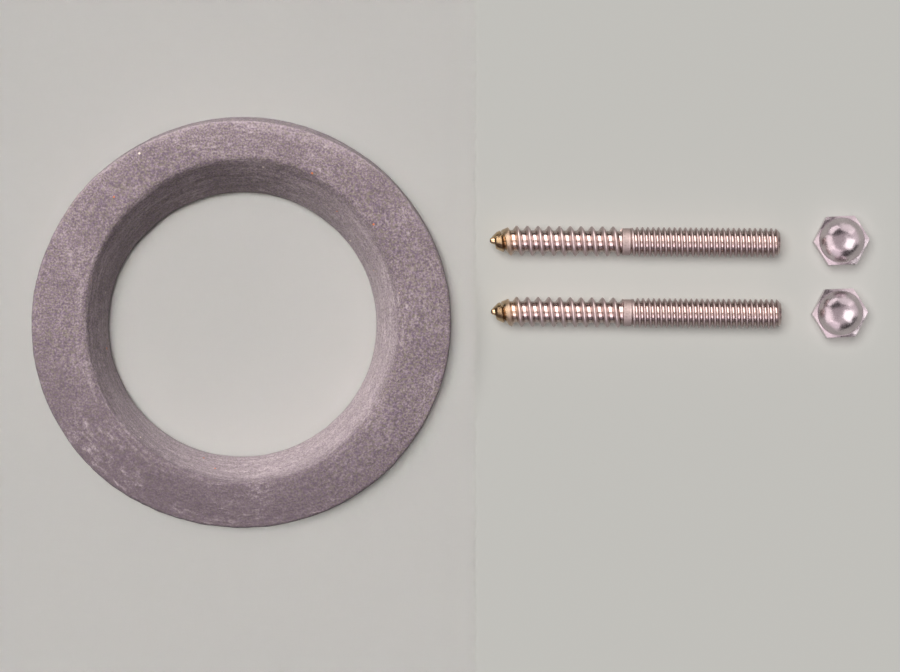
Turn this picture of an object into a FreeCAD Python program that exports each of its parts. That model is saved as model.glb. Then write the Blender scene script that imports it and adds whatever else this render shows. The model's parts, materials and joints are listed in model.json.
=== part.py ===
import FreeCAD, Part

import os

import Sketcher
from FreeCAD import Vector

# Floor-flange seal and fixing kit for a small toilet, laid out flat.
# Frame: millimetres, origin on the seal's bore axis at the surface the kit lies on,
# X along the fixings, Y to the rear, Z up.

os.makedirs("parts", exist_ok=True)
doc = FreeCAD.newDocument("flange_seal_kit")
sheet = doc.addObject("Spreadsheet::Sheet", "Sizes")

sizes = [
    # sponge rubber seal
    ("seal_outer_diameter", 108.0, "across the outside of the ring"),
    ("seal_bore_diameter", 70.0, "clear hole for the outlet spigot"),
    ("seal_thickness", 19.0, "uncompressed"),
    ("seal_land_height", 3.5, "straight wall at the bottom of the bore"),
    ("seal_lower_flare", 3.2, "how far the lower slope opens, each side"),
    ("seal_break_height", 12.0, "mould line between the two inner slopes"),
    ("seal_upper_flare", 2.8, "how far the upper slope opens, each side"),
    ("seal_lip_round", 2.2, "rounding of the inner top edge"),
    ("seal_shoulder_round", 1.8, "rounding of the outer top edge"),
    ("seal_base_round", 1.0, "rounding of the outer bottom edge"),
    # hanger bolt, 5/16-18 machine thread one end and lag thread the other
    ("bolt_length", 76.2, "3 in over all"),
    ("lag_length", 34.6, "lag thread with its point"),
    ("neck_length", 2.1, "plain shank between the threads"),
    ("neck_margin", 0.76, "machine thread's crests stand this much over the neck"),
    ("neck_step", 0.3, "lag end's rise to the neck"),
    ("neck_stock", 0.08, "left on the core until the neck is turned"),
    ("neck_fade", 0.5, "core's fall from the neck to the machine thread's root"),
    ("lag_crest_diameter", 7.9, ""),
    ("lag_root_diameter", 5.6, ""),
    ("lag_pitch", 2.822, "9 threads per inch"),
    ("lag_start", 0.6, "where the thread begins on the point"),
    ("lag_crest_flat", 0.28, ""),
    ("lag_root_ridge", 2.3, "width of the ridge at the root"),
    ("lag_blade_thickness", 1.9, "thread on the thin part of the point"),
    ("lag_blade_diameter", 4.03, ""),
    ("lag_foot_thickness", 0.9, "thread's innermost edge"),
    ("lag_foot_diameter", 1.4, ""),
    ("lag_ridge_sink", 0.15, "foot of the thread inside the core"),
    ("lag_run_out", 1.0, "thread's fade before the neck"),
    ("point_length", 5.2, "tapered core of the point"),
    ("point_nose_flat", 0.9, "blunt end of the point"),
    ("point_nose_bevel", 0.4, ""),
    ("point_knob_diameter", 1.6, ""),
    ("point_waist", 1.3, "where the core starts to swell"),
    ("point_waist_diameter", 2.1, ""),
    ("point_full", 5.7, "where the thread reaches its full height"),
    ("point_cone", 1.7, "steep first part of the point"),
    ("point_cone_diameter", 4.5, ""),
    ("machine_crest_diameter", 7.8, ""),
    ("machine_thread_depth", 0.83, "crest to root"),
    ("machine_pitch", 1.4111, "18 threads per inch"),
    ("machine_crest_flat", 0.176, "an eighth of the pitch"),
    ("machine_flank_angle", 30.0, "degrees, half the thread's 60"),
    ("machine_ridge_sink", 0.1, "foot of the thread inside the core"),
    ("machine_run_in", 1.2, "thread begins this far inside the neck"),
    ("machine_run_out", 1.6, "thread's fade beside the neck"),
    ("machine_end_chamfer", 1.1, ""),
    # hex cap nut
    ("nut_across_flats", 12.7, "1/2 in"),
    ("nut_hex_height", 5.6, ""),
    ("nut_height", 10.4, "over the crown"),
    ("nut_crown_margin", 1.0, "flats stand this much wider than the crown"),
    ("nut_crown_rise", 0.5, "straight part of the crown"),
    ("nut_top_margin", 0.64, "flats less the circle the corners are turned to"),
    ("nut_seat_margin", 0.26, "flats less the washer face"),
    ("nut_chamfer_angle", 30.0, "degrees from the flat"),
    ("nut_seat_angle", 16.1, "degrees from the flat"),
    ("nut_bore_depth", 7.4, "to the start of the drill point"),
    ("nut_drill_angle", 31.0, "degrees, from a 118 degree drill"),
    ("nut_thread_length", 6.2, "full thread in the nut"),
    ("nut_thread_lead", 0.9, "thread starts this far below the seat"),
    ("thread_root_play", 0.36, "nut's bore over the bolt's root"),
    ("thread_crest_play", 0.16, "nut's thread over the bolt's crests"),
    ("nut_mouth_play", 0.5, "countersink over the bolt's crests"),
    ("cut_overrun", 1.0, "how far a cut runs past the metal"),
    ("cut_play", 0.02, "how far a cut clears a crest it should leave whole"),
    # where the loose pieces lie
    ("rear_bolt_gap", 11.4, "from the ring to the rear bolt's point"),
    ("rear_bolt_across", 22.1, ""),
    ("rear_bolt_yaw", -0.5, "degrees"),
    ("rear_bolt_roll", 264.5, "degrees about its own axis"),
    ("front_bolt_gap", 11.7, "from the ring to the front bolt's point"),
    ("front_bolt_across", 3.4, ""),
    ("front_bolt_yaw", -0.5, "degrees"),
    ("front_bolt_roll", 302.7, "degrees about its own axis"),
    ("rear_nut_gap", 16.3, "from the bolt's end to the nut's axis"),
    ("rear_nut_across", 22.1, ""),
    ("rear_nut_turn", 2.6, "degrees"),
    ("front_nut_gap", 15.6, "from the bolt's end to the nut's axis"),
    ("front_nut_across", 3.0, ""),
    ("front_nut_turn", 2.2, "degrees"),
]
for row, (alias, value, note) in enumerate(sizes, start=1):
    sheet.set(f"A{row}", alias)
    sheet.set(f"B{row}", str(value))
    sheet.set(f"C{row}", note)
    sheet.setAlias(f"B{row}", alias)
doc.recompute()
names = sorted((alias for alias, value, note in sizes), key=len, reverse=True)


def bound(text):
    """The expression with each size's name pointed at the sheet."""
    return " ".join(f"Sizes.{word}" if word in names else word for word in text.split())


def worth(text):
    """What an expression comes to now."""
    found = sheet.evalExpression(bound(text))
    return float(getattr(found, "Value", found))


def new_body(label):
    body = doc.addObject("PartDesign::Body", label)
    body.Label = label
    return body


def origin_plane(body, role):
    return next(f for f in body.Origin.OriginFeatures if f.Role == role)


def outline(body, name, plane, points):
    """A closed sketch whose corners are (across, up) expressions on one of the body's planes."""
    sketch = doc.addObject("Sketcher::SketchObject", name)
    body.addObject(sketch)
    sketch.AttachmentSupport = [(origin_plane(body, plane), "")]
    sketch.MapMode = "FlatFace"
    corners = [Vector(worth(x), worth(y), 0) for x, y in points]
    count = len(corners)
    for i in range(count):
        sketch.addGeometry(Part.LineSegment(corners[i], corners[(i + 1) % count]), False)
    for i in range(count):
        sketch.addConstraint(Sketcher.Constraint("Coincident", i, 2, (i + 1) % count, 1))
    for i, (x, y) in enumerate(points):
        for kind, text in (("DistanceX", x), ("DistanceY", y)):
            if text == "0":
                axis = -2 if kind == "DistanceX" else -1
                sketch.addConstraint(Sketcher.Constraint("PointOnObject", i, 1, axis))
            else:
                value = corners[i].x if kind == "DistanceX" else corners[i].y
                c = sketch.addConstraint(Sketcher.Constraint(kind, -1, 1, i, 1, value))
                sketch.setExpression(f"Constraints[{c}]", bound(text))
    return sketch


def feature(body, kind, name, sketch, axis=None, **settings):
    made = doc.addObject(f"PartDesign::{kind}", name)
    body.addObject(made)
    made.Profile = sketch
    if axis:
        made.ReferenceAxis = (sketch, [axis])
    for key, value in settings.items():
        if isinstance(value, str) and key != "Mode":
            made.setExpression(key, bound(value))
        else:
            setattr(made, key, value)
    sketch.Visibility = False
    body.Tip = made
    return made


def ring_edges(shape, radius, height):
    """Names of the whole circles of this radius about Z at this height."""
    found = []
    for i, edge in enumerate(shape.Edges, start=1):
        if isinstance(edge.Curve, Part.Circle) and abs(edge.Curve.Radius - radius) < 1e-4:
            if abs(edge.Curve.Center.z - height) < 1e-4:
                found.append(f"Edge{i}")
    return found


def rounded(body, name, base, radius, height, size):
    doc.recompute()
    made = doc.addObject("PartDesign::Fillet", name)
    body.addObject(made)
    made.Base = (base, ring_edges(base.Shape, worth(radius), worth(height)))
    made.setExpression("Radius", bound(size))
    body.Tip = made
    return made


def place(body, x, y, z, yaw="0", roll="0"):
    where, facing = f"vector( {x} ; {y} ; {z} )", f"rotation( {yaw} ; 0 ; {roll} )"
    body.setExpression("Placement", bound(f"placement( {where} ; {facing} )"))


# Sponge rubber ring: straight outside, two slopes down to a short straight bore.
seal = new_body("flange_seal")
break_radius = "seal_bore_diameter / 2 + seal_lower_flare"
throat_radius = f"{break_radius} + seal_upper_flare"
section = outline(
    seal,
    "seal_section",
    "XZ_Plane",
    [
        ("seal_bore_diameter / 2", "0"),
        ("seal_outer_diameter / 2", "0"),
        ("seal_outer_diameter / 2", "seal_thickness"),
        (throat_radius, "seal_thickness"),
        (break_radius, "seal_break_height"),
        ("seal_bore_diameter / 2", "seal_land_height"),
    ],
)
ring = feature(seal, "Revolution", "seal_ring", section, "V_Axis", Angle=360.0)
lip = rounded(seal, "seal_lip", ring, throat_radius, "seal_thickness", "seal_lip_round")
shoulder = rounded(
    seal, "seal_shoulder", lip, "seal_outer_diameter / 2", "seal_thickness", "seal_shoulder_round"
)
rounded(seal, "seal_base", shoulder, "seal_outer_diameter / 2", "0", "seal_base_round")


machine_root = "( machine_crest_diameter / 2 - machine_thread_depth )"


def hanger_bolt(label, lies, across, yaw, roll):
    """Bolt along its own X with the point at X = 0, then laid on its crests."""
    body = new_body(label)
    neck_start = "lag_length"
    neck_end = "( lag_length + neck_length )"
    widest = "max( lag_crest_diameter ; machine_crest_diameter )"
    neck_radius = "( ( machine_crest_diameter - neck_margin ) / 2 )"
    core = outline(
        body,
        f"{label}_core_section",
        "XY_Plane",
        [
            ("0", "0"),
            ("0", "point_nose_flat / 2"),
            ("point_nose_bevel", "point_knob_diameter / 2"),
            ("point_waist", "point_waist_diameter / 2"),
            ("point_length", "lag_root_diameter / 2"),
            (neck_start, "lag_root_diameter / 2"),
            (f"{neck_start} + neck_step", f"{neck_radius} + neck_stock"),
            (f"{neck_end} + neck_stock", f"{neck_radius} + neck_stock"),
            (f"{neck_end} + neck_fade", machine_root),
            ("bolt_length", machine_root),
            ("bolt_length", "0"),
        ],
    )
    feature(body, "Revolution", f"{label}_core", core, "H_Axis", Angle=360.0)

    start = "lag_start"
    crest, root = "lag_crest_diameter / 2", "lag_root_diameter / 2 - lag_ridge_sink"
    foot, blade = "lag_foot_diameter / 2", "lag_blade_diameter / 2"
    ridge = outline(
        body,
        f"{label}_lag_section",
        "XY_Plane",
        [
            (f"{start} - lag_foot_thickness / 2", foot),
            (f"{start} - lag_blade_thickness / 2", blade),
            (f"{start} - lag_root_ridge / 2", root),
            (f"{start} - lag_crest_flat / 2", crest),
            (f"{start} + lag_crest_flat / 2", crest),
            (f"{start} + lag_root_ridge / 2", root),
            (f"{start} + lag_blade_thickness / 2", blade),
            (f"{start} + lag_foot_thickness / 2", foot),
        ],
    )
    feature(
        body,
        "AdditiveHelix",
        f"{label}_lag_thread",
        ridge,
        "H_Axis",
        Mode="pitch-height-angle",
        Pitch="lag_pitch",
        Height="lag_length",
    )

    start = f"( {neck_end} - machine_run_in )"
    crest, root = "machine_crest_diameter / 2", f"{machine_root} - machine_ridge_sink"
    half = f"( machine_crest_flat / 2 + ( {crest} - ( {root} ) ) * tan( machine_flank_angle ) )"
    ridge = outline(
        body,
        f"{label}_machine_section",
        "XY_Plane",
        [
            (f"{start} - {half}", root),
            (f"{start} - machine_crest_flat / 2", crest),
            (f"{start} + machine_crest_flat / 2", crest),
            (f"{start} + {half}", root),
        ],
    )
    feature(
        body,
        "AdditiveHelix",
        f"{label}_machine_thread",
        ridge,
        "H_Axis",
        Mode="pitch-height-angle",
        Pitch="machine_pitch",
        Height=f"bolt_length - {start} + machine_pitch",
    )

    # the point's envelope, the neck that both threads run out on, and the chamfered end
    lag_crests = "lag_crest_diameter / 2 + cut_play"
    machine_crests = "machine_crest_diameter / 2 + cut_play"
    outside = f"{widest} / 2 + cut_overrun"
    point = outline(
        body,
        f"{label}_point_section",
        "XY_Plane",
        [
            ("-2 * cut_overrun", "point_nose_flat / 2 + cut_play"),
            ("0", "point_nose_flat / 2 + cut_play"),
            ("point_cone", "point_cone_diameter / 2"),
            ("point_full", lag_crests),
            ("point_full", outside),
            ("-2 * cut_overrun", outside),
        ],
    )
    feature(body, "Groove", f"{label}_point", point, "H_Axis", Angle=360.0)
    neck = outline(
        body,
        f"{label}_neck_section",
        "XY_Plane",
        [
            (f"{neck_start} - lag_run_out", lag_crests),
            (f"{neck_start} + neck_step", neck_radius),
            (neck_end, neck_radius),
            (f"{neck_end} + machine_run_out", machine_crests),
            (f"{neck_end} + machine_run_out", outside),
            (f"{neck_start} - lag_run_out", outside),
        ],
    )
    feature(body, "Groove", f"{label}_neck", neck, "H_Axis", Angle=360.0)
    end = outline(
        body,
        f"{label}_end_section",
        "XY_Plane",
        [
            ("bolt_length", "0"),
            ("bolt_length", "machine_crest_diameter / 2 - machine_end_chamfer"),
            ("bolt_length - machine_end_chamfer", "machine_crest_diameter / 2"),
            ("bolt_length - machine_end_chamfer", outside),
            ("bolt_length + 2 * machine_pitch + cut_overrun", outside),
            ("bolt_length + 2 * machine_pitch + cut_overrun", "0"),
        ],
    )
    feature(body, "Groove", f"{label}_end", end, "H_Axis", Angle=360.0)
    place(body, lies, across, f"{widest} / 2", yaw, roll)
    return body


def crown_section(body, name):
    """Half of the crown: a short straight rise off the hexagon, then an arc to the axis."""
    radius, base = "( nut_across_flats - nut_crown_margin ) / 2", "nut_hex_height + nut_crown_rise"
    r, z, top = worth(radius), worth(base), worth("nut_height")
    bow = (r * r + (top - z) ** 2) / (2 * (top - z))
    sketch = doc.addObject("Sketcher::SketchObject", name)
    body.addObject(sketch)
    sketch.AttachmentSupport = [(origin_plane(body, "XZ_Plane"), "")]
    sketch.MapMode = "FlatFace"
    inside = worth("nut_hex_height - cut_overrun")
    corners = [(0, inside), (r, inside), (r, z), (0, top)]
    a, b, c, d = (Vector(x, y, 0) for x, y in corners)
    sketch.addGeometry(Part.LineSegment(a, b), False)
    sketch.addGeometry(Part.LineSegment(b, c), False)
    middle = Vector(0, top - bow, 0)
    half = (c - middle).normalize() + Vector(0, 1, 0)
    sketch.addGeometry(Part.Arc(c, middle + half.normalize() * bow, d), False)
    sketch.addGeometry(Part.LineSegment(d, a), False)
    for first, end, second, begin in ((0, 2, 1, 1), (1, 2, 2, 1), (2, 2, 3, 1), (3, 2, 0, 1)):
        sketch.addConstraint(Sketcher.Constraint("Coincident", first, end, second, begin))
    sketch.addConstraint(Sketcher.Constraint("Horizontal", 0))
    sketch.addConstraint(Sketcher.Constraint("Vertical", 1))
    sketch.addConstraint(Sketcher.Constraint("PointOnObject", 0, 1, -2))
    sketch.addConstraint(Sketcher.Constraint("PointOnObject", 2, 3, -2))
    sketch.addConstraint(Sketcher.Constraint("PointOnObject", 3, 1, -2))
    for kind, line, value, text in (
        ("DistanceY", 0, inside, "nut_hex_height - cut_overrun"),
        ("DistanceX", 1, r, radius),
        ("DistanceY", 3, top, "nut_height"),
    ):
        c = sketch.addConstraint(Sketcher.Constraint(kind, -1, 1, line, 1, value))
        sketch.setExpression(f"Constraints[{c}]", bound(text))
    c = sketch.addConstraint(Sketcher.Constraint("DistanceY", -1, 1, 1, 2, z))
    sketch.setExpression(f"Constraints[{c}]", bound(base))
    return sketch


def cap_nut(label, lies, across, turn):
    """Low-crown cap nut standing on its seat, crown up."""
    body = new_body(label)
    corner, half_flat = "nut_across_flats / sqrt(3)", "nut_across_flats / 2"
    outside = f"( {corner} + cut_overrun )"
    hexagon = outline(
        body,
        f"{label}_hex_section",
        "XY_Plane",
        [
            (corner, "0"),
            (f"{corner} / 2", half_flat),
            (f"-1 * {corner} / 2", half_flat),
            (f"-1 * {corner}", "0"),
            (f"-1 * {corner} / 2", f"-1 * {half_flat}"),
            (f"{corner} / 2", f"-1 * {half_flat}"),
        ],
    )
    feature(body, "Pad", f"{label}_hex", hexagon, Length="nut_hex_height")

    rim = "( nut_across_flats - nut_top_margin ) / 2"
    drop = f"( {outside} - {rim} ) * tan( nut_chamfer_angle )"
    corners = outline(
        body,
        f"{label}_corner_section",
        "XZ_Plane",
        [
            (rim, "nut_hex_height"),
            (outside, f"nut_hex_height - {drop}"),
            (outside, "nut_hex_height + cut_overrun"),
            (rim, "nut_hex_height + cut_overrun"),
        ],
    )
    feature(body, "Groove", f"{label}_corners", corners, "V_Axis", Angle=360.0)
    rim = "( nut_across_flats - nut_seat_margin ) / 2"
    seat = outline(
        body,
        f"{label}_seat_section",
        "XZ_Plane",
        [
            (rim, "0"),
            (outside, f"( {outside} - {rim} ) * tan( nut_seat_angle )"),
            (outside, "-1 * cut_overrun"),
            (rim, "-1 * cut_overrun"),
        ],
    )
    feature(body, "Groove", f"{label}_seat", seat, "V_Axis", Angle=360.0)

    crown = crown_section(body, f"{label}_crown_section")
    feature(body, "Revolution", f"{label}_crown", crown, "V_Axis", Angle=360.0)

    # the hole and its thread are sized from the bolt's
    bore = f"( {machine_root} + thread_root_play / 2 )"
    mouth = "( machine_crest_diameter + nut_mouth_play ) / 2"
    drill = outline(
        body,
        f"{label}_bore_section",
        "XZ_Plane",
        [
            ("0", "-1 * cut_overrun"),
            (f"{mouth} + cut_overrun", "-1 * cut_overrun"),
            (bore, f"{mouth} - {bore}"),
            (bore, "nut_bore_depth"),
            ("0", f"nut_bore_depth + {bore} * tan( nut_drill_angle )"),
        ],
    )
    feature(body, "Groove", f"{label}_bore", drill, "V_Axis", Angle=360.0)

    start = "-1 * nut_thread_lead"
    groove_bottom = "( machine_crest_diameter + thread_crest_play ) / 2"
    groove_top = f"( {bore} - cut_play )"
    half = f"( machine_crest_flat / 2 + ( {groove_bottom} - {groove_top} ) * tan( machine_flank_angle ) )"
    groove = outline(
        body,
        f"{label}_thread_section",
        "XZ_Plane",
        [
            (groove_bottom, f"{start} - machine_crest_flat / 2"),
            (groove_bottom, f"{start} + machine_crest_flat / 2"),
            (groove_top, f"{start} + {half}"),
            (groove_top, f"{start} - {half}"),
        ],
    )
    feature(
        body,
        "SubtractiveHelix",
        f"{label}_thread",
        groove,
        "V_Axis",
        Mode="pitch-height-angle",
        Pitch="machine_pitch",
        Height="nut_thread_length + nut_thread_lead",
    )
    place(body, lies, across, "0", turn)
    return body


bolts, nuts = [], []
for side in ("rear", "front"):
    point = f"seal_outer_diameter / 2 + {side}_bolt_gap"
    bolts.append(
        hanger_bolt(
            f"hanger_bolt_{side}", point, f"{side}_bolt_across", f"{side}_bolt_yaw", f"{side}_bolt_roll"
        )
    )
    middle = f"{point} + bolt_length + {side}_nut_gap"
    nuts.append(cap_nut(f"cap_nut_{side}", middle, f"{side}_nut_across", f"{side}_nut_turn"))

doc.recompute()
pieces = [seal, *bolts, *nuts]
for thing in doc.Objects:
    if "Invalid" in thing.State or "Error" in thing.State:
        raise RuntimeError(f"{thing.Label} did not compute: {thing.State}")
for piece in pieces:
    shape = piece.Shape
    if shape.isNull() or not shape.isValid() or len(shape.Solids) != 1:
        raise RuntimeError(f"{piece.Label} is not one valid solid")
    shape.exportStep(f"parts/{piece.Label}.step")
    box = shape.BoundBox
    print(
        f"{piece.Label}: {shape.Volume:.1f} mm3, X {box.XMin:.2f} to {box.XMax:.2f}, "
        f"Y {box.YMin:.2f} to {box.YMax:.2f}, Z {box.ZMin:.2f} to {box.ZMax:.2f}"
    )
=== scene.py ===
import json
import math

import bpy
import numpy as np
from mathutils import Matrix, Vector


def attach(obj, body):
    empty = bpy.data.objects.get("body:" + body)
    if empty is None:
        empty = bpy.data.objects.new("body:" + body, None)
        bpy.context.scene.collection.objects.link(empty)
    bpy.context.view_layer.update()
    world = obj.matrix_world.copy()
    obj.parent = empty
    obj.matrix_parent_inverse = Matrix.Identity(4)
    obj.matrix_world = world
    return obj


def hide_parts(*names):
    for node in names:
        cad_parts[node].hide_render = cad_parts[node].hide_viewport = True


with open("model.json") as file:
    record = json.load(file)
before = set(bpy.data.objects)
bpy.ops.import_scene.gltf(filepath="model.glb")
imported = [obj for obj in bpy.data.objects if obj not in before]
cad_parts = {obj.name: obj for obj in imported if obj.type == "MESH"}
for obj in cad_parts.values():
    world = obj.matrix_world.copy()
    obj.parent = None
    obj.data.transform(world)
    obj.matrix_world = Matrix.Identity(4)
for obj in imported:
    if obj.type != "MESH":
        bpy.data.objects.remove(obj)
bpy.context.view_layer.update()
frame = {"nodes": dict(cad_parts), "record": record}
mounts = {m["name"]: m for m in frame["record"]["mounts"]}
mm = 0.001
print("frame loaded:", ", ".join(sorted(frame["nodes"])))


# sRGB hex to the linear colour that shaders and lights use
def linearFromHex(text):
    channels = [int(text[i:i + 2], 16) / 255 for i in (1, 3, 5)]
    return [c / 12.92 if c <= 0.04045 else ((c + 0.055) / 1.055) ** 2.4 for c in channels] + [1.0]


def grey(value):
    return (value, value, value, 1.0)


# one node: its inputs are values or other nodes' outputs, and a ramp gets its stops
def addNode(tree, kind, inputs=None, stops=None, **settings):
    node = tree.nodes.new("ShaderNode" + kind)
    for name, value in settings.items():
        setattr(node, name, value)
    for place, value in (inputs or {}).items():
        if isinstance(value, bpy.types.NodeSocket):
            tree.links.new(value, node.inputs[place])
        else:
            node.inputs[place].default_value = value
    for i, (at, colour) in enumerate(stops or []):
        spot = node.color_ramp.elements[i] if i < 2 else node.color_ramp.elements.new(at)
        spot.position, spot.color = at, colour
    return node


def newMaterial(name):
    material = bpy.data.materials.new(name)
    material.use_nodes = True
    material.node_tree.nodes.clear()
    return material, material.node_tree


# lattice noise from -1 to 1 at an array of points, one cell to a unit
def softNoise(points, seed):
    cell = np.floor(points).astype(np.int64)
    part = points - cell
    part = part * part * (3 - 2 * part)
    total = np.zeros(len(points))
    for corner in np.ndindex(2, 2, 2):
        at = cell + corner
        # the large odd numbers only scatter the bits
        key = at[:, 0] * 73856093 ^ at[:, 1] * 19349663 ^ at[:, 2] * 83492791 ^ seed * 2654435761
        key = (key ^ (key >> 15)) * 2246822519 & 0xFFFFFFFF
        key = (key ^ (key >> 13)) * 3266489917 & 0xFFFFFFFF
        value = (key ^ (key >> 16)) / 0xFFFFFFFF * 2 - 1
        total += value * np.where(corner, part, 1 - part).prod(1)
    return total


# Moulded sponge ring. A station is one loop round it: height, offset of its middle from the
# bore's axis in X and Y, half widths in X and Y, and how much of its corner is rounded off.
ring = {
    "stations": [
        (0.0, 0.0, 0.0, 35.4, 34.9, 0.12),      # foot of the bore
        (3.5, 0.0, 0.0, 35.4, 34.9, 0.30),      # top of the straight land
        (12.0, 0.5, 0.2, 37.6, 38.5, 0.30),     # mould line between the slopes
        (19.0, 1.3, 0.85, 41.1, 42.04, 0.20),   # throat
        (19.2, 1.0, 0.4, 47.8, 47.4, 0.50),     # top, a little crowned
        (18.8, 0.7, -0.05, 54.4, 52.9, 0.10),   # shoulder
        (9.0, 0.65, 0.75, 54.4, 53.9, 0.50),    # side, barrelled to the rear
        (0.0, 0.3, 0.3, 53.6, 53.2, 0.10),      # outer foot
    ],
    "cornerSteps": 9,
    "wallSteps": 24,
    "around": 640,
    "across": 152,
    "seed": 11,
    "roughMm": [           # depth and length of each kind of unevenness
        (0.20, 17.0),      # long waves from the mould
        (0.10, 4.2),       # soft lumps
        (0.05, 1.9),       # small lumps
        (0.045, 0.75),     # pimpled skin
    ],
    "creaseMm": 0.16,
    "creases": [(12.0, 1.0, 0.5), (16.4, 0.8, 0.4), (6.2, 0.6, 0.4)],  # height, share of depth, width
    "creaseWanderMm": (0.5, 9.0),   # how far a crease strays, over what length
    "innerMiddleMm": 1.0,
    "innerReachMm": 41.0,  # creases lie within this of the bore's axis
    "topMm": 18.9,
    "restMm": 0.8,         # the skin goes flat this close to the board
    "lieRadiusMm": 45.0,
}


def makeSeal():
    stations = ring["stations"]
    count, around, steps = len(stations), ring["around"], ring["across"]
    theta = np.linspace(0, 2 * math.pi, around, endpoint=False)
    loops = np.array([
        np.stack([x + a * np.cos(theta), y + b * np.sin(theta), np.full(around, z)], 1)
        for z, x, y, a, b, share in stations
    ])
    # the section is a closed polygon of stations with each corner eased by a small curve
    rows = []
    for i, station in enumerate(stations):
        share, after = station[5], (i + 1) % count
        ahead = stations[after][5]
        for t in np.linspace(0, 1, ring["cornerSteps"], endpoint=False):
            row = np.zeros(count)
            row[i - 1] += (1 - t) ** 2 * share
            row[i] += (1 - t) ** 2 * (1 - share) + 2 * t * (1 - t) + t * t * (1 - share)
            row[after] += t * t * share
            rows.append(row)
        for t in np.linspace(0, 1, ring["wallSteps"], endpoint=False):
            row = np.zeros(count)
            at = share + max(0.0, 1 - share - ahead) * t
            row[i], row[after] = 1 - at, at
            rows.append(row)
    section = np.einsum("sk,kac->sac", np.array(rows), loops)
    # even steps along the section
    closed = np.concatenate([section, section[:1]], 0)
    strides = np.linalg.norm(np.diff(closed[:, 0], axis=0), axis=1)
    length = np.concatenate([[0], np.cumsum(strides)])
    want = np.linspace(0, length[-1], steps, endpoint=False)
    low = np.clip(np.searchsorted(length, want, side="right") - 1, 0, len(length) - 2)
    part = ((want - length[low]) / (length[low + 1] - length[low]))[:, None, None]
    grid = closed[low] * (1 - part) + closed[low + 1] * part
    overSection, roundRing = [np.roll(grid, -1, axis) - np.roll(grid, 1, axis) for axis in (0, 1)]
    normal = np.cross(overSection, roundRing)
    normal /= np.linalg.norm(normal, axis=2, keepdims=True)
    if normal[grid[:, :, 2] > ring["topMm"]][:, 2].mean() < 0:
        normal = -normal
    # uneven skin, and creases round the two inner slopes
    flat, normal = grid.reshape(-1, 3), normal.reshape(-1, 3)
    push = np.zeros(len(flat))
    for i, (depth, size) in enumerate(ring["roughMm"]):
        push += depth * softNoise(flat / size, ring["seed"] + i)
    height = flat[:, 2]
    inner = np.hypot(flat[:, 0] - ring["innerMiddleMm"], flat[:, 1]) < ring["innerReachMm"]
    stray, over = ring["creaseWanderMm"]
    wander = stray * softNoise(flat / over, ring["seed"] + len(ring["roughMm"]))
    for level, share, width in ring["creases"]:
        push -= inner * ring["creaseMm"] * share * np.exp(-((height - level - wander) / width) ** 2)
    push *= np.clip(height / ring["restMm"], 0, 1)
    flat = flat + normal * push[:, None]
    flat[:, 2] = np.maximum(flat[:, 2], 0)
    s, a = np.meshgrid(np.arange(steps), np.arange(around), indexing="ij")
    quads = np.stack([
        s * around + a, (s + 1) % steps * around + a,
        (s + 1) % steps * around + (a + 1) % around, s * around + (a + 1) % around,
    ], -1).reshape(-1, 4)
    mesh = bpy.data.meshes.new("spongeRing")
    mesh.from_pydata((flat * mm).tolist(), [], quads.tolist())
    mesh.polygons.foreach_set("use_smooth", np.ones(len(mesh.polygons), bool))
    # distance round the ring and along its section in mm, which scuffs and streaks follow
    lie = mesh.attributes.new("ringLie", "FLOAT_VECTOR", "POINT")
    turn, run, radius = np.tile(theta, steps), np.repeat(want, around), ring["lieRadiusMm"]
    along = np.stack([radius * np.cos(turn), radius * np.sin(turn), run], 1)
    lie.data.foreach_set("vector", along.astype(np.float32).ravel())
    mesh.update()
    seal = bpy.data.objects.new("sponge_seal", mesh)
    bpy.context.collection.objects.link(seal)
    return seal


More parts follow.
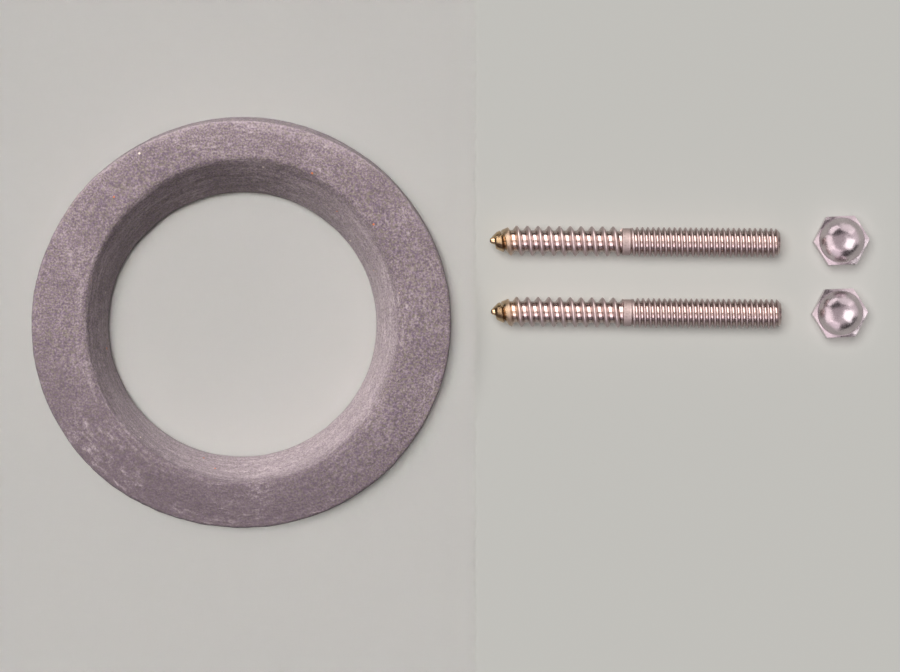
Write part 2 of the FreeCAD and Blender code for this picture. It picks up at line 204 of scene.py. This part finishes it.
# Closed-cell sponge rubber, compression moulded: a dull, grainy, mauve-grey skin with no gloss, rubbed paler
# in short scuffs, with pale streaks on the slopes and a few bright grits. Painted light is mixed into its
# colour: the inner slopes painted paler, a painted edge highlight along the shoulder, and painted shade on
# one side.
sponge = {
    "deep": "#5e5159", "body": "#7f7076", "pale": "#a5969b", "toneStops": (0.40, 0.50, 0.61),
    "grainMm": 0.5,        # real cells are finer, drawn coarser to show
    "mottleMm": 1.6, "mottleShare": 0.3,
    "cloudMm": 13.0, "cloudShare": 0.1,
    "olive": "#817a6a", "oliveStops": (0.50, 0.62), "oliveShare": 0.7,
    "violet": "#75657b", "violetStops": (0.38, 0.50), "violetShare": 0.5,
    "tintMm": 0.5, "tintShift": (31.0, 7.0, 3.0),
    # painted shade: darker towards this direction, where less light falls, between these distances
    "paintedShadeSide": (-0.26, -0.97, 0.0), "paintedShadeMm": (12.0, 54.0), "paintedShadeShare": 0.7,
    # pale colour of the talc in the scuffs and streaks, also used for the painted light on the slopes and the
    # shoulder
    "talcAndPaintedLight": "#cfc1c4",
    # scuffs and streaks, in cells to a mm round the ring and along its section
    "scuffPerMm": (0.42, 0.42, 0.95), "scuffStops": (0.50, 0.72), "scuffTalc": 0.65,
    "patchStops": (0.44, 0.60), "patchTalc": (0.08, 0.9),
    "streakPerMm": (0.09, 0.09, 0.8), "streakStops": (0.48, 0.66), "streakTalc": 0.26,
    # painted light: the slopes are painted paler below the lip, most on the side that faces the window
    "slopePaintedLight": 0.24, "lipMm": (18.6, 15.0), "throatMm": (43.5, 41.5),
    "paintedLitSide": (0.707, -0.707, 0.0), "paintedLitMm": (-24.0, 40.0), "paintedLitGain": (0.1, 2.1),
    # a pale line along the shoulder, strongest at the rear where the light comes from: dust together with a
    # painted edge highlight
    "shoulderMm": 18.55, "shoulderWidthMm": (0.45, 0.1), "shoulderDustAndHighlight": 0.35,
    "rearMm": (20.0, 46.0), "rearGain": (0.12, 1.0), "outerMm": 50.0,
    "brokenStops": (0.35, 0.6), "brokenGain": (0.45, 1.0),
    "gritCellMm": 3.2, "gritSize": 0.10, "gritRarity": 0.94,
    "grits": ((0.3, "#c9744c"), (0.6, "#e6d8ca")),
    "grainBump": (0.7, 0.0003), "scuffBump": (0.5, 0.0006),   # strength, distance in m
    "roughness": (0.8, 0.98), "ior": 1.52, "sheen": 0.08, "sheenRoughness": 0.5,
}


def makeMouldedSponge():
    material, tree = newMaterial("mouldedSpongeRubber")
    where = addNode(tree, "TexCoord").outputs["Object"]
    inMm = addNode(tree, "VectorMath", {0: where, "Scale": 1 / mm}, operation="SCALE").outputs[0]
    lie = addNode(tree, "Attribute", attribute_name="ringLie").outputs["Vector"]
    place = addNode(tree, "SeparateXYZ", {0: inMm}).outputs
    level = addNode(tree, "CombineXYZ", {0: place[0], 1: place[1]}).outputs[0]
    reach = addNode(tree, "VectorMath", {0: level}, operation="LENGTH").outputs["Value"]
    shifted = addNode(tree, "VectorMath", {0: inMm, 1: sponge["tintShift"]}, operation="ADD").outputs[0]
    dashes, lines = [
        addNode(tree, "VectorMath", {0: lie, 1: perMm}, operation="MULTIPLY").outputs[0]
        for perMm in (sponge["scuffPerMm"], sponge["streakPerMm"])
    ]
    grain, mottle, cloud, tint, scuff, streak = [
        addNode(tree, "TexNoise", {
            "Vector": vector, "Scale": 1 / size, "Detail": detail, "Roughness": roughness,
        }).outputs[0]
        for vector, size, detail, roughness in (
            (inMm, sponge["grainMm"], 2.0, 0.6),
            (inMm, sponge["mottleMm"], 4.0, 0.65),
            (inMm, sponge["cloudMm"], 2.0, 0.5),
            (shifted, sponge["tintMm"], 2.0, 0.6),
            (dashes, 1.0, 4.0, 0.65),
            (lines, 1.0, 3.0, 0.6),
        )
    ]
    # grain, mottle and cloud share the tone
    tone = addNode(tree, "Mix", {0: sponge["mottleShare"], 2: grain, 3: mottle}, data_type="FLOAT").outputs[0]
    tone = addNode(tree, "Mix", {0: sponge["cloudShare"], 2: tone, 3: cloud}, data_type="FLOAT").outputs[0]
    low, middle, high = sponge["toneStops"]
    base = addNode(tree, "ValToRGB", {0: tone}, [
        (low, linearFromHex(sponge["deep"])), (high, linearFromHex(sponge["pale"])),
        (middle, linearFromHex(sponge["body"])),
    ]).outputs[0]
    low, high = sponge["oliveStops"]
    olive = addNode(tree, "ValToRGB", {0: tint}, [
        (low, grey(0)), (high, grey(sponge["oliveShare"])),
    ]).outputs[0]
    low, high = sponge["violetStops"]
    violet = addNode(tree, "ValToRGB", {0: tint}, [
        (low, grey(sponge["violetShare"])), (high, grey(0)),
    ]).outputs[0]
    # painted shade over the side away from the lamps, mixed in with the deep tone below
    paintedShade = addNode(tree, "VectorMath", {0: inMm, 1: sponge["paintedShadeSide"]}, operation="DOT_PRODUCT")
    low, high = sponge["paintedShadeMm"]
    paintedShade = addNode(tree, "MapRange", {
        0: paintedShade.outputs["Value"], 1: low, 2: high, 3: 0.0, 4: sponge["paintedShadeShare"],
    }).outputs[0]
    for share, colour in ((olive, "olive"), (violet, "violet"), (paintedShade, "deep")):
        layer = addNode(tree, "Mix", {0: share, 6: base, 7: linearFromHex(sponge[colour])}, data_type="RGBA")
        base = layer.outputs[2]
    # talc in the scuffs, which lie in patches
    low, high = sponge["scuffStops"]
    scuffed = addNode(tree, "ValToRGB", {0: scuff}, [
        (low, grey(0)), (high, grey(sponge["scuffTalc"])),
    ]).outputs[0]
    low, high = sponge["patchStops"]
    least, most = sponge["patchTalc"]
    patchy = addNode(tree, "ValToRGB", {0: cloud}, [(low, grey(least)), (high, grey(most))]).outputs[0]
    scuffed = addNode(tree, "Math", {0: scuffed, 1: patchy}, operation="MULTIPLY").outputs[0]
    # painted light over the inner slopes, strongest on the side that faces the window, with pale streaks
    # added
    low, high = sponge["lipMm"]
    slope = addNode(tree, "MapRange", {
        0: place[2], 1: low, 2: high, 3: 0.0, 4: sponge["slopePaintedLight"],
    }).outputs[0]
    low, high = sponge["throatMm"]
    within = addNode(tree, "MapRange", {0: reach, 1: low, 2: high}).outputs[0]
    low, high = sponge["streakStops"]
    streaked = addNode(tree, "ValToRGB", {0: streak}, [
        (low, grey(0)), (high, grey(sponge["streakTalc"])),
    ]).outputs[0]
    # painted light: paler on the slopes that face the window
    paintedLit = addNode(tree, "VectorMath", {0: inMm, 1: sponge["paintedLitSide"]}, operation="DOT_PRODUCT")
    (low, high), (least, most) = sponge["paintedLitMm"], sponge["paintedLitGain"]
    paintedLit = addNode(tree, "MapRange", {
        0: paintedLit.outputs["Value"], 1: low, 2: high, 3: least, 4: most,
    }).outputs[0]
    slope = addNode(tree, "Math", {0: slope, 1: paintedLit}, operation="MULTIPLY").outputs[0]
    slope = addNode(tree, "Math", {0: slope, 1: streaked}, operation="ADD").outputs[0]
    slope = addNode(tree, "Math", {0: slope, 1: within}, operation="MULTIPLY").outputs[0]
    # dust and a painted edge highlight in a line along the shoulder, strongest at the rear
    rim = addNode(tree, "Math", {0: place[2], 1: sponge["shoulderMm"]}, operation="SUBTRACT").outputs[0]
    rim = addNode(tree, "Math", {0: rim}, operation="ABSOLUTE").outputs[0]
    low, high = sponge["shoulderWidthMm"]
    rim = addNode(tree, "MapRange", {0: rim, 1: low, 2: high, 3: 0.0, 4: sponge["shoulderDustAndHighlight"]}).outputs[0]
    (low, high), (least, most) = sponge["rearMm"], sponge["rearGain"]
    rear = addNode(tree, "MapRange", {0: place[1], 1: low, 2: high, 3: least, 4: most}).outputs[0]
    outside = addNode(tree, "Math", {0: reach, 1: sponge["outerMm"]}, operation="GREATER_THAN").outputs[0]
    rear = addNode(tree, "Math", {0: rear, 1: outside}, operation="MULTIPLY").outputs[0]
    rim = addNode(tree, "Math", {0: rim, 1: rear}, operation="MULTIPLY").outputs[0]
    # the talc in the scuffs together with the painted light, broken up by the grain
    talcAndPaintedLight = addNode(tree, "Math", {0: slope, 1: rim}, operation="MAXIMUM").outputs[0]
    talcAndPaintedLight = addNode(tree, "Math", {0: talcAndPaintedLight, 1: scuffed}, operation="ADD", use_clamp=True).outputs[0]
    (low, high), (least, most) = sponge["brokenStops"], sponge["brokenGain"]
    broken = addNode(tree, "MapRange", {0: grain, 1: low, 2: high, 3: least, 4: most}).outputs[0]
    talcAndPaintedLight = addNode(tree, "Math", {0: talcAndPaintedLight, 1: broken}, operation="MULTIPLY").outputs[0]
    base = addNode(tree, "Mix", {
        0: talcAndPaintedLight, 6: base, 7: linearFromHex(sponge["talcAndPaintedLight"]),
    }, data_type="RGBA").outputs[2]
    # grits: the middle of a few cells, orange to cream
    cells = addNode(tree, "TexVoronoi", {"Vector": inMm, "Scale": 1 / sponge["gritCellMm"]}).outputs
    pick = addNode(tree, "SeparateColor", {0: cells["Color"]}).outputs
    core = addNode(tree, "Math", {
        0: cells["Distance"], 1: sponge["gritSize"],
    }, operation="LESS_THAN").outputs[0]
    rare = addNode(tree, "Math", {0: pick[0], 1: sponge["gritRarity"]}, operation="GREATER_THAN").outputs[0]
    shown = addNode(tree, "Math", {0: core, 1: rare}, operation="MULTIPLY").outputs[0]
    gritStops = [(at, linearFromHex(colour)) for at, colour in sponge["grits"]]
    grit = addNode(tree, "ValToRGB", {0: pick[1]}, gritStops).outputs[0]
    base = addNode(tree, "Mix", {0: shown, 6: base, 7: grit}, data_type="RGBA").outputs[2]
    strength, distance = sponge["grainBump"]
    bump = addNode(tree, "Bump", {"Strength": strength, "Distance": distance, "Height": grain}).outputs[0]
    strength, distance = sponge["scuffBump"]
    bump = addNode(tree, "Bump", {
        "Strength": strength, "Distance": distance, "Height": scuff, "Normal": bump,
    }).outputs[0]
    smoothest, roughest = sponge["roughness"]
    rough = addNode(tree, "MapRange", {0: grain, 3: smoothest, 4: roughest}).outputs[0]
    shader = addNode(tree, "BsdfPrincipled", {
        "Base Color": base, "Roughness": rough, "Normal": bump, "IOR": sponge["ior"],
        "Sheen Weight": sponge["sheen"], "Sheen Roughness": sponge["sheenRoughness"],
    })
    addNode(tree, "OutputMaterial", {0: shader.outputs[0]})
    return material


# Stainless hanger bolt with rolled threads: burnished roots that mirror the room in streaks,
# crests left duller by the dies, a plain neck dulled by die marks, and a straw heat tint
# towards the point.
rolled = {
    "crest": "#ada1a0", "root": "#b1a19d", "straw": "#c4a87c", "smut": "#3f382c",
    "rootMm": 2.95, "crestMm": 3.8,             # radii
    "strawMm": (1.5, 9.0), "strawShare": 0.8,   # from the point
    "neckMm": (34.2, 35.0, 36.4, 37.4), "neckShare": 0.28,
    "markMm": 0.8,                              # real die marks are finer, drawn coarser to show
    "smutStops": (0.58, 0.78), "smutShare": 0.6,
    "roughness": (0.18, 0.46), "markStops": (0.3, 0.7), "markRoughness": (-0.06, 0.1),
    "markBump": (0.4, 0.00008),
}


def makeRolledStainless(side):
    tip = mounts[f"{side}_bolt_lag_thread"]["pos_m"]
    forward = Vector(mounts[f"{side}_bolt_machine_thread"]["axis"]).normalized()
    material, tree = newMaterial(f"rolledStainless_{side}")
    # distance along the bolt from its point, and off its axis
    where = addNode(tree, "TexCoord").outputs["Object"]
    fromTip = addNode(tree, "VectorMath", {0: where, 1: tip}, operation="SUBTRACT").outputs[0]
    inMm = addNode(tree, "VectorMath", {0: fromTip, "Scale": 1 / mm}, operation="SCALE").outputs[0]
    along = addNode(tree, "VectorMath", {0: inMm, 1: forward}, operation="DOT_PRODUCT").outputs["Value"]
    axial = addNode(tree, "VectorMath", {0: forward, "Scale": along}, operation="SCALE").outputs[0]
    offAxis = addNode(tree, "VectorMath", {0: inMm, 1: axial}, operation="SUBTRACT").outputs[0]
    radius = addNode(tree, "VectorMath", {0: offAxis}, operation="LENGTH").outputs["Value"]
    worn = addNode(tree, "MapRange", {0: radius, 1: rolled["rootMm"], 2: rolled["crestMm"]},
                   interpolation_type="SMOOTHSTEP").outputs[0]
    marks = addNode(tree, "TexNoise", {
        "Vector": inMm, "Scale": 1 / rolled["markMm"], "Detail": 4.0, "Roughness": 0.6,
    }).outputs[0]
    low, high = rolled["strawMm"]
    straw = addNode(tree, "MapRange", {0: along, 1: low, 2: high, 3: rolled["strawShare"], 4: 0.0},
                    interpolation_type="SMOOTHSTEP").outputs[0]
    low, high = rolled["smutStops"]
    smut = addNode(tree, "ValToRGB", {0: marks}, [
        (low, grey(0)), (high, grey(rolled["smutShare"])),
    ]).outputs[0]
    begin, full, fade, end = rolled["neckMm"]
    neck = addNode(tree, "MapRange", {0: along, 1: begin, 2: full, 3: 0.0, 4: rolled["neckShare"]}).outputs[0]
    ends = addNode(tree, "MapRange", {0: along, 1: fade, 2: end, 3: 1.0, 4: 0.0}).outputs[0]
    neck = addNode(tree, "Math", {0: neck, 1: ends}, operation="MULTIPLY").outputs[0]
    metal = linearFromHex(rolled["root"])
    for share, colour in ((worn, "crest"), (straw, "straw"), (smut, "smut"), (neck, "smut")):
        layer = addNode(tree, "Mix", {0: share, 6: metal, 7: linearFromHex(rolled[colour])}, data_type="RGBA")
        metal = layer.outputs[2]
    smoothest, roughest = rolled["roughness"]
    rough = addNode(tree, "MapRange", {0: worn, 3: smoothest, 4: roughest}).outputs[0]
    (low, high), (least, most) = rolled["markStops"], rolled["markRoughness"]
    marked = addNode(tree, "MapRange", {0: marks, 1: low, 2: high, 3: least, 4: most}).outputs[0]
    for more in (neck, marked):
        rough = addNode(tree, "Math", {0: rough, 1: more}, operation="ADD").outputs[0]
    strength, distance = rolled["markBump"]
    bump = addNode(tree, "Bump", {"Strength": strength, "Distance": distance, "Height": marks}).outputs[0]
    shader = addNode(tree, "BsdfPrincipled", {
        "Base Color": metal, "Roughness": rough, "Metallic": 1.0, "Normal": bump,
    })
    addNode(tree, "OutputMaterial", {0: shader.outputs[0]})
    return material


# Barrel-polished stainless cap nut: near mirror with shallow dents that bend the reflections, faint hairlines
# that spread each highlight, and slightly greyed patches over the dents, a painted reflection of smudges.
polished = {
    "metal": "#d8cdd0", "smudgedReflection": "#b3a7ac",
    "dentMm": 3.0, "dentBump": (0.6, 0.0003),
    "hairMm": 0.35, "hairBump": (0.12, 0.00002),   # real hairlines are finer, drawn coarser to show
    "hairStops": (0.3, 0.7), "roughness": (0.2, 0.34),
}


def makePolishedStainless():
    material, tree = newMaterial("barrelPolishedStainless")
    where = addNode(tree, "TexCoord").outputs["Object"]
    inMm = addNode(tree, "VectorMath", {0: where, "Scale": 1 / mm}, operation="SCALE").outputs[0]
    dents = addNode(tree, "TexNoise", {
        "Vector": inMm, "Scale": 1 / polished["dentMm"], "Detail": 1.5, "Roughness": 0.45,
    }).outputs[0]
    hairs = addNode(tree, "TexNoise", {
        "Vector": inMm, "Scale": 1 / polished["hairMm"], "Detail": 4.0, "Roughness": 0.7, "Distortion": 1.5,
    }).outputs[0]
    # painted reflection: greyer patches where the dents lie
    metal = addNode(tree, "Mix", {
        0: dents, 6: linearFromHex(polished["metal"]), 7: linearFromHex(polished["smudgedReflection"]),
    }, data_type="RGBA").outputs[2]
    (low, high), (smoothest, roughest) = polished["hairStops"], polished["roughness"]
    rough = addNode(tree, "MapRange", {0: hairs, 1: low, 2: high, 3: smoothest, 4: roughest}).outputs[0]
    strength, distance = polished["dentBump"]
    bump = addNode(tree, "Bump", {"Strength": strength, "Distance": distance, "Height": dents}).outputs[0]
    strength, distance = polished["hairBump"]
    bump = addNode(tree, "Bump", {
        "Strength": strength, "Distance": distance, "Height": hairs, "Normal": bump,
    }).outputs[0]
    shader = addNode(tree, "BsdfPrincipled", {
        "Base Color": metal, "Roughness": rough, "Metallic": 1.0, "Normal": bump,
    })
    addNode(tree, "OutputMaterial", {0: shader.outputs[0]})
    return material


def dress(node, material):
    mesh = frame["nodes"][node].data
    mesh.materials.clear()
    mesh.materials.append(material)


seal = makeSeal()
seal.data.materials.append(makeMouldedSponge())
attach(seal, "seal")
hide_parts("flange_seal")
print("sponge ring made")

sides = ("rear", "front")
for side in sides:
    dress(f"hanger_bolt_{side}", makeRolledStainless(side))
nutMetal = makePolishedStainless()
for side in sides:
    dress(f"cap_nut_{side}", nutMetal)
print("bolts and nuts finished")


def group(name, objects):
    collection = bpy.data.collections.new(name)
    for thing in objects:
        collection.objects.link(thing)
    return collection


# Matt painted board in three flush parts, so that the hole, the tall ring and the low fixings
# each get a light that gives them a short, soft shadow. The round join is hidden under the ring,
# the straight one runs between the ring and the bolts.
board = {
    "colour": "#dad9d3", "roughness": 0.9, "underRingMm": 44.0, "seamMm": 61.5, "reachMm": 2500,
    "dropMm": 0.05, "corners": 128,
}


def makeBoard(name, paint, rim, hole=None):
    z = -board["dropMm"]
    mesh = bpy.data.meshes.new(name)
    loops = rim + (hole or [])
    faces = [tuple(range(len(rim)))]
    if hole:
        n = len(rim)
        faces = [(i, (i + 1) % n, n + (i + 1) % n, n + i) for i in range(n)]
    mesh.from_pydata([(x * mm, y * mm, z * mm) for x, y in loops], [], faces)
    mesh.materials.append(paint)
    part = bpy.data.objects.new(name, mesh)
    bpy.context.collection.objects.link(part)
    return part


boardPaint, paintTree = newMaterial("paintedBoard")
paintShader = addNode(paintTree, "BsdfPrincipled", {
    "Base Color": linearFromHex(board["colour"]), "Roughness": board["roughness"], "Specular IOR Level": 0.0,
})
addNode(paintTree, "OutputMaterial", {0: paintShader.outputs[0]})
reach, seam = board["reachMm"], board["seamMm"]
circle, square = [], []
for i in range(board["corners"]):
    turn = math.tau * i / board["corners"]
    x, y = math.cos(turn), math.sin(turn)
    circle.append((board["underRingMm"] * x, board["underRingMm"] * y))
    stretch = reach / max(abs(x), abs(y))
    square.append((min(seam, x * stretch), y * stretch))
holeBoard = makeBoard("holeBoard", boardPaint, circle)
ringBoard = makeBoard("ringBoard", boardPaint, square, circle)
fixingBoard = makeBoard("fixingBoard", boardPaint, [
    (seam, -reach), (reach, -reach), (reach, reach), (seam, reach),
])

onSeal = group("litSeal", [seal, frame["nodes"]["flange_seal"]])
onBolts = group("litBolts", [frame["nodes"][f"hanger_bolt_{side}"] for side in sides])
onNuts = group("litNuts", [frame["nodes"][f"cap_nut_{side}"] for side in sides])
boards = group("boards", [holeBoard, ringBoard, fixingBoard])


def towards(compass, polar):
    c, p = math.radians(compass), math.radians(polar)
    return Vector((math.sin(p) * math.cos(c), math.sin(p) * math.sin(c), math.cos(p)))


def hang(name, data, away, receivers):
    lamp = bpy.data.objects.new(name, data)
    lamp.rotation_euler = away.to_track_quat("Z", "Y").to_euler()
    lamp.light_linking.receiver_collection = receivers
    bpy.context.collection.objects.link(lamp)
    return lamp


# a lamp seen from the piece at a compass angle and an angle off the zenith, its brightness
# the one that a mirror would show
def softbox(name, at, compass, polar, distance, size, brightness, colour, receivers):
    data = bpy.data.lights.new(name, "AREA")
    data.shape, data.size, data.size_y = "RECTANGLE", *size
    data.energy, data.color = math.pi * size[0] * size[1] * brightness, linearFromHex(colour)[:3]
    away = towards(compass, polar)
    lamp = hang(name, data, away, receivers)
    lamp.location = at + away * distance
    lamp.visible_camera = False


# a distant lamp that lays the same light on a level board from any angle
def sun(name, compass, polar, spread, energy, receivers, blockers=None):
    data = bpy.data.lights.new(name, "SUN")
    data.angle, data.energy = math.radians(spread), energy / math.cos(math.radians(polar))
    lamp = hang(name, data, towards(compass, polar), receivers)
    if blockers:
        lamp.light_linking.blocker_collection = blockers


floorLight = {"energy": 2.38, "fill": 0.2, "compass": 135.0, "fillSpread": 5.0}
# part of the board, angle off the zenith, width of the lamp in degrees, trim
floorSuns = [
    ("holeShadow", holeBoard, 16.0, 24.0, 0.92),
    ("ringShadow", ringBoard, 4.0, 14.0, 0.944),
    ("fixingShadow", fixingBoard, 17.0, 40.0, 0.958),
]
keyEnergy = floorLight["energy"] * (1 - floorLight["fill"])
fillEnergy = floorLight["energy"] * floorLight["fill"]
for name, part, polar, spread, trim in floorSuns:
    sun(name, floorLight["compass"], polar, spread, keyEnergy * trim, group(name, [part]))
# the fill has no shadows but the boards' own
sun("floorFill", floorLight["compass"], 0.0, floorLight["fillSpread"], fillEnergy, boards, boards)

# name, compass, polar, distance, size, brightness, colour
# window light on the ring, with a little sky from the other sides
ringLights = [
    ("window", 132, 33, 0.6, (0.4, 0.4), 9.6, "#fffafa"),
    ("skyNorth", 84, 62, 0.5, (0.4, 0.4), 1.15, "#fffafc"),
    ("skySouth", 272, 58, 0.5, (0.4, 0.4), 0.45, "#fffafc"),
    ("skyEast", 36, 72, 0.5, (0.4, 0.4), 0.7, "#fffafc"),
    ("ceiling", 90, 8, 1.2, (1.6, 1.6), 0.29, "#ffffff"),
]
# a tent for the bolts: rear and front strips, a dimmer strip between them, and dim ends
boltTent = [
    ("rearStrip", 90, 35, 0.8, (1.3, 0.92), 5.0, "#fff4f0"),
    ("frontStrip", 270, 35, 0.9, (1.3, 0.44), 3.9, "#f8eef8"),
    ("lensGap", 270, 12, 1.2, (1.2, 0.26), 2.6, "#fff2ee"),
    ("frontGlow", 270, 66, 0.8, (1.3, 0.4), 0.45, "#f4e8f4"),
    ("leftGlow", 180, 60, 0.8, (0.9, 0.8), 1.6, "#fff4ea"),
    ("rightGlow", 0, 60, 0.8, (0.9, 0.8), 1.6, "#fff4ea"),
]
# a tent for the nuts: an even ceiling, walls with two dark gaps, and one hot box
nutTent = [
    ("nutCeiling", 280, 13, 0.6, (1.4, 1.2), 0.56, "#fff2f6"),
    ("nutLeft", 188, 70, 1.0, (1.2, 0.75), 1.6, "#fff4f6"),
    ("nutUpperLeft", 122, 75, 1.0, (0.9, 0.36), 1.8, "#fff6f8"),
    ("nutRear", 66, 68, 1.0, (1.0, 0.8), 1.1, "#fff6f8"),
    ("nutRight", 17, 70, 1.0, (1.0, 0.75), 0.85, "#fff4f8"),
    ("nutFront", 243, 70, 1.0, (0.9, 0.75), 1.15, "#fff2f8"),
    ("nutHot", 338, 40, 0.9, (0.85, 0.85), 1.9, "#ffffff"),
]
# middle of what each set lights, in mm
lightSets = [
    ((0.0, 0.0, 12.0), ringLights, onSeal),
    ((103.0, 13.0, 4.0), boltTent, onBolts),
    ((158.0, 12.0, 8.0), nutTent, onNuts),
]
for middle, lamps, receivers in lightSets:
    for name, compass, polar, distance, size, brightness, colour in lamps:
        softbox(name, Vector(middle) * mm, compass, polar, distance, size, brightness, colour, receivers)

room = {"colour": "#3a3438", "strength": 0.6}
world = bpy.data.worlds.new("darkRoom")
world.use_nodes = True
world.node_tree.nodes["Background"].inputs[0].default_value = linearFromHex(room["colour"])
world.node_tree.nodes["Background"].inputs[1].default_value = room["strength"]
bpy.context.scene.world = world
bpy.context.scene.view_settings.view_transform = "Standard"

# the camera hangs straight above the middle of the layout
view = {"aimMm": (54.9, -3.04), "heightMm": 1000.0, "widthMm": 237.8, "sensorMm": 36.0}
lens = bpy.data.cameras.new("overhead")
lens.sensor_width = view["sensorMm"]
lens.lens = view["sensorMm"] * view["heightMm"] / view["widthMm"]
camera = bpy.data.objects.new("overhead", lens)
camera.location = Vector((*view["aimMm"], view["heightMm"])) * mm
bpy.context.collection.objects.link(camera)
bpy.context.scene.camera = camera
print("board, lights and camera ready")
